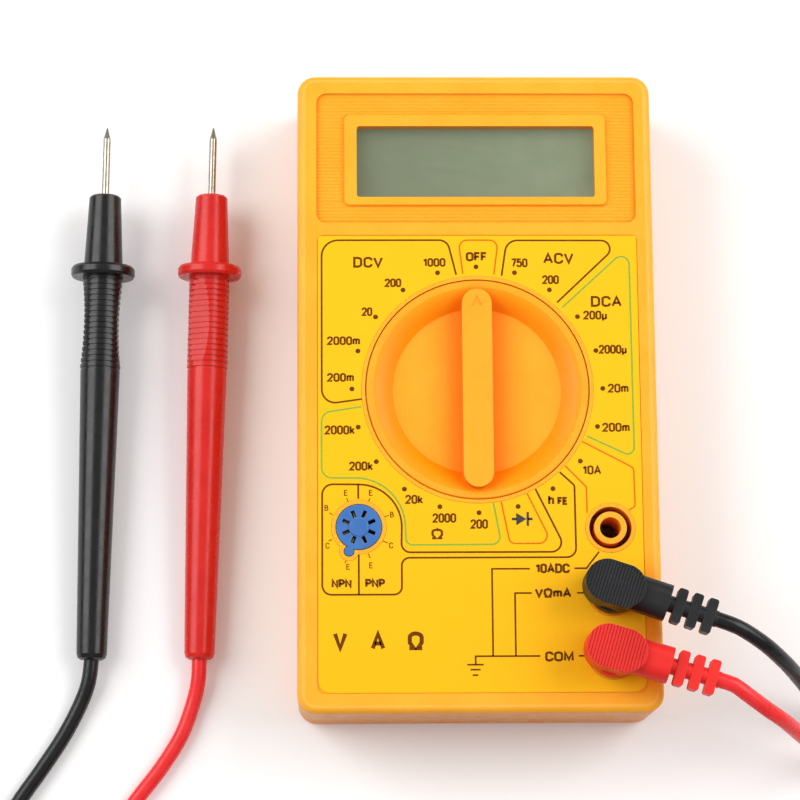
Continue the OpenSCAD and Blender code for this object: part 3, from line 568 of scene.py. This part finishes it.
def linear(colour):
    """Linear colour with alpha from 8-bit display values."""
    made = []
    for value in colour:
        share = value / 255
        made.append(share / 12.92 if share <= 0.04045 else ((share + 0.055) / 1.055) ** 2.4)
    return (*made, 1.0)


class Shader:
    """A material being put together: a Principled shader, and small helpers for the nodes that feed it.

    Colours are 8-bit display values, and sizes are in millimetres."""

    def __init__(self, name, roughness, gloss=0.5):
        self.material = bpy.data.materials.new(name)
        self.material.use_nodes = True
        self.tree = self.material.node_tree
        self.main = self.tree.nodes["Principled BSDF"]
        self.set("Roughness", roughness)
        self.set("Specular IOR Level", gloss)
        self.where = self.node("ShaderNodeTexCoord").outputs["Object"]

    def set(self, socket, value):
        self.main.inputs[socket].default_value = value

    def node(self, kind, **settings):
        made = self.tree.nodes.new(kind)
        for key, value in settings.items():
            setattr(made, key, value)
        return made

    def link(self, source, target):
        self.tree.links.new(source, target)

    def feed(self, socket, source):
        self.link(source, self.main.inputs[socket])

    def along(self, vector, axis):
        """One component of a vector."""
        split = self.node("ShaderNodeSeparateXYZ")
        self.link(vector, split.inputs["Vector"])
        return split.outputs[axis]

    def noise(self, size, detail, stretch=None):
        """Noise with features about as large as size, drawn out along the axes by stretch."""
        made = self.node("ShaderNodeTexNoise")
        made.inputs["Scale"].default_value = 1 / (size * MM)
        made.inputs["Detail"].default_value = detail
        where = self.where
        if stretch:
            mapping = self.node("ShaderNodeMapping")
            mapping.inputs["Scale"].default_value = stretch
            self.link(where, mapping.inputs["Vector"])
            where = mapping.outputs["Vector"]
        self.link(where, made.inputs["Vector"])
        return made.outputs["Fac"]

    def spread(self, value, low, high, from_low=0.35, from_high=0.65):
        """The value moved from one range to another; noise mostly lies in the default range."""
        made = self.node("ShaderNodeMapRange")
        made.inputs["From Min"].default_value = from_low
        made.inputs["From Max"].default_value = from_high
        made.inputs["To Min"].default_value = low
        made.inputs["To Max"].default_value = high
        self.link(value, made.inputs["Value"])
        return made.outputs["Result"]

    def mixed(self, share, first, second):
        """Two colours mixed by share: 8-bit ones, linear ones with alpha, or outputs of nodes."""
        made = self.node("ShaderNodeMix", data_type="RGBA")
        self.link(share, made.inputs["Factor"])
        for socket, colour in ((made.inputs[6], first), (made.inputs[7], second)):
            if not isinstance(colour, tuple):
                self.link(colour, socket)
            else:
                socket.default_value = colour if len(colour) == 4 else linear(colour)
        return made.outputs[2]

    def rounded(self, radius):
        """The surface's direction with edges that look rounded by the radius."""
        bevel = self.node("ShaderNodeBevel", samples=4)
        bevel.inputs["Radius"].default_value = radius * MM
        return bevel.outputs["Normal"]

    def edges(self, radius):
        """How much the surface turns within radius: 0 on flats, towards 1 at edges and corners."""
        alike = self.node("ShaderNodeVectorMath", operation="DOT_PRODUCT")
        self.link(self.rounded(radius), alike.inputs[0])
        self.link(self.node("ShaderNodeNewGeometry").outputs["Normal"], alike.inputs[1])
        return self.spread(alike.outputs["Value"], 1.0, 0.0, 0.75, 0.995)

    def creases(self, reach):
        """How open the surface is: 0 in creases narrower than reach, 1 where it sees the whole tent."""
        made = self.node("ShaderNodeAmbientOcclusion", samples=8)
        made.inputs["Distance"].default_value = reach * MM
        return made.outputs["AO"]

    def upward(self):
        """How much the surface faces up: 1 on flats, 0 on upright walls."""
        return self.along(self.node("ShaderNodeNewGeometry").outputs["Normal"], "Z")

    def painted_light_by(self, value, stops, base):
        """The base colour with painted light and shade by a value, in stops of value, colour and strength.
        """
        ramp = self.node("ShaderNodeValToRGB")
        points = ramp.color_ramp.elements
        points[0].position = stops[0][0]
        points[1].position = stops[-1][0]
        for stop in stops[1:-1]:
            points.new(stop[0])
        for point, (_, colour, strength) in zip(points, stops):
            point.color = (*linear(colour)[:3], strength)
        self.link(value, ramp.inputs["Fac"])
        return self.mixed(ramp.outputs["Alpha"], base, ramp.outputs["Color"])

    def bump(self, height, distance, rounding=0.0):
        """Surface relief from a height, on edges that look rounded by the given radius."""
        made = self.node("ShaderNodeBump")
        made.inputs["Distance"].default_value = distance * MM
        self.link(height, made.inputs["Height"])
        if rounding:
            self.link(self.rounded(rounding), made.inputs["Normal"])
        self.feed("Normal", made.outputs["Normal"])


def moulded(name):
    """Moulded plastic: flow clouds in its colour, rubbed edges, uneven gloss and a fine surface grain;
    amber ones also get painted light by slope and painted shade in creases.
    """
    light, deep, rubbed, (rough, gloss), (grain, height, rounding) = MOULDED[name]
    s = Shader(name, rough, gloss)
    base = s.mixed(s.spread(s.noise(9, 4), 0, 1), light, deep)
    base = s.mixed(s.edges(rounding * 1.6), base, rubbed)
    if name in AMBER:
        slope_light, crease_shade = AMBER[name]
        s.set("Subsurface Weight", SKIN_SHARE)
        s.set("Subsurface Radius", SKIN_SPREAD)
        s.set("Subsurface Scale", SKIN_DEPTH * MM)
        # Painted light by slope: shade on upright walls and the knob's slopes, a highlight on the case's
        # slopes
        base = s.painted_light_by(s.upward(), slope_light, base)
        # Painted shade in creases: where the surface is closed in within the reach, the plastic turns
        # deeper orange
        base = s.mixed(s.spread(s.creases(CREASE_SHADE_REACH), 1, 0, 0.4, 0.98), base, crease_shade)
    if name in CLEAR:
        s.set("Transmission Weight", CLEAR[name])
    s.feed("Base Color", base)
    s.feed("Roughness", s.spread(s.noise(2.5, 5), rough * 0.85, rough * 1.2))
    s.bump(s.noise(grain, 2), height, rounding)
    return s.material


def metal(name):
    """Plated or bare metal with fine drawn scratches and a little tarnish."""
    colour, rough, scratch = METALS[name]
    dull = (*(value * TARNISH for value in linear(colour)[:3]), 1.0)
    s = Shader(name, rough)
    s.set("Metallic", 1.0)
    s.feed("Base Color", s.mixed(s.spread(s.noise(1.2, 5), 0, 1), colour, dull))
    s.feed("Roughness", s.spread(s.noise(0.6, 4), rough * 0.7, rough * 1.4))
    s.bump(s.noise(0.15, 2, scratch), 0.004)
    return s.material


def sheath(name):
    """Soft PVC: glossy, with faint waves from extrusion and slight dirt."""
    light, deep, rough = SHEATHS[name]
    s = Shader(name, rough, 0.35)
    s.feed("Base Color", s.mixed(s.spread(s.noise(4, 5), 0, 1), light, deep))
    s.feed("Roughness", s.spread(s.noise(1, 4), rough * 0.8, rough * 1.25))
    s.bump(s.noise(0.9, 3), 0.012)
    return s.material


def ink(name):
    """Screen-printed ink: nearly even, thinner in places."""
    full, thin = INKS[name]
    s = Shader(f"ink_{name}", 0.5, 0.1)
    s.feed("Base Color", s.mixed(s.spread(s.noise(0.5, 4), 0, 1), full, thin))
    s.bump(s.noise(0.06, 2), 0.002)
    return s.material


def label_film():
    """Yellow film with faint blotches and a fine leather grain, and painted shade warmer towards the
    sockets.
    """
    s = Shader("label_film", 0.42, 0.15)
    # Painted shade: warmer towards the sockets, where the plugs shade the film
    painted_plug_shade = s.spread(s.along(s.where, "Y"), 1.0, 0.0, -0.058, 0.01)
    base = s.mixed(painted_plug_shade, (253, 190, 20), (251, 184, 16))
    s.feed("Base Color", s.mixed(s.spread(s.noise(6, 5), 0.0, 0.35), base, (250, 184, 16)))
    s.feed("Roughness", s.spread(s.noise(1.5, 4), 0.36, 0.5))
    s.bump(s.noise(0.1, 2), 0.004)
    return s.material


def display_glass():
    """The resting display: grey-green, lighter to the right as a painted reflection, lifted by painted
    light.
    """
    s = Shader("display_glass", 0.3, 0.2)
    # Painted reflection: the display lighter to the right
    across = s.spread(s.along(s.where, "X"), 0.0, 1.0, -0.024, 0.024)
    base = s.mixed(across, (112, 122, 94), (134, 144, 114))
    base = s.mixed(s.spread(s.noise(5, 3), 0.0, 0.3), base, (112, 122, 94))
    s.feed("Base Color", base)
    # Painted light: the display glows a little, which lifts it out of the shade of the window's walls
    s.feed("Emission Color", base)
    s.set("Emission Strength", 0.42)
    s.bump(s.noise(0.2, 2), 0.002)
    return s.material


def clear_window():
    """Clear window that only adds its gloss and a trace of haze."""
    s = Shader("clear_window", 0.08)
    s.set("Alpha", 0.06)
    s.feed("Base Color", s.mixed(s.spread(s.noise(3, 4), 0, 1), (235, 240, 236), (215, 224, 214)))
    s.bump(s.noise(4, 1), 0.01)
    return s.material


def make_materials():
    """Every CAD node's and cord's material, by the name of the record's slot."""
    made = {"label_film": label_film(), "display_glass": display_glass(), "clear_window": clear_window()}
    for maker, names in ((moulded, MOULDED), (metal, METALS), (sheath, SHEATHS)):
        for name in names:
            made[name] = maker(name)
    return made


def paint(thing, material):
    thing.data.materials.clear()
    thing.data.materials.append(material)


def paint_frame(materials):
    """Gives each CAD node the material of its slot in the record."""
    for part in frame["record"]["subparts"]:
        paint(frame["nodes"][part["node"]], materials[part["material_slot"]])


# ---------------------------------------------------------------- studio

# In metres: half the floor's width, then the place, width and power in watts of the two lights
FLOOR_REACH = 3.0
LIGHTS = {"left_box": (-0.68, 0.2, 0.62), "right_box": (0.68, 0.2, 0.62)}
LIGHT_WIDTH = 0.7
LIGHT_POWER = 6.2
# The tent's brightness at the horizon and at the height, as a sine, from which it is even
TENT_LOW = 0.15
TENT_HIGH = 0.55
TENT_EVEN_FROM = 0.8


def make_floor():
    bm = bmesh.new()
    corners = [(-1, -1), (1, -1), (1, 1), (-1, 1)]
    bm.faces.new([bm.verts.new((x * FLOOR_REACH, y * FLOOR_REACH, 0)) for x, y in corners])
    floor = object_from(bm, "floor")
    s = Shader("floor_paper", 0.9, 0.1)
    s.feed("Base Color", s.mixed(s.spread(s.noise(200, 2), 0, 1), (252, 252, 252), (250, 250, 250)))
    paint(floor, s.material)


def make_light(name, place):
    """A soft square light that faces the meter."""
    data = bpy.data.lights.new(name, "AREA")
    data.size = LIGHT_WIDTH
    data.energy = LIGHT_POWER
    light = bpy.data.objects.new(name, data)
    at = Vector(place)
    light.matrix_world = Matrix.LocRotScale(at, at.to_track_quat("Z", "Y"), None)
    bpy.context.scene.collection.objects.link(light)


def make_sky():
    """A tent of white cloth: bright overhead, dimmer towards the floor."""
    world = bpy.data.worlds.new("tent")
    world.use_nodes = True
    tree = world.node_tree
    where = tree.nodes.new("ShaderNodeTexCoord")
    split = tree.nodes.new("ShaderNodeSeparateXYZ")
    ramp = tree.nodes.new("ShaderNodeMapRange")
    ramp.inputs["From Min"].default_value = 0.0
    ramp.inputs["From Max"].default_value = TENT_EVEN_FROM
    ramp.inputs["To Min"].default_value = TENT_LOW
    ramp.inputs["To Max"].default_value = TENT_HIGH
    cloth = tree.nodes["Background"]
    cloth.inputs["Color"].default_value = (1, 1, 1, 1)
    tree.links.new(where.outputs["Generated"], split.inputs["Vector"])
    tree.links.new(split.outputs["Z"], ramp.inputs["Value"])
    tree.links.new(ramp.outputs["Result"], cloth.inputs["Strength"])
    bpy.context.scene.world = world


def make_studio():
    make_floor()
    make_sky()
    for name, place in LIGHTS.items():
        make_light(name, place)
    bpy.context.scene.view_settings.view_transform = "Standard"


# ---------------------------------------------------------------- the scene

make_camera()
black_coil = coil_line(BLACK_COIL_AT, -90, -1, 3)
red_coil = coil_line(RED_COIL_AT, 90, 1, 4)
black_cord = make_cord("black", BLACK_RUN, black_coil, BLACK_TAIL)
red_cord = make_cord("red", RED_RUN, red_coil, RED_TAIL)
materials = make_materials()
paint_frame(materials)
paint(black_cord, materials["black_pvc"])
paint(red_cord, materials["red_pvc"])
for colour, print_piece in make_print().items():
    paint(print_piece, ink(colour))
make_studio()
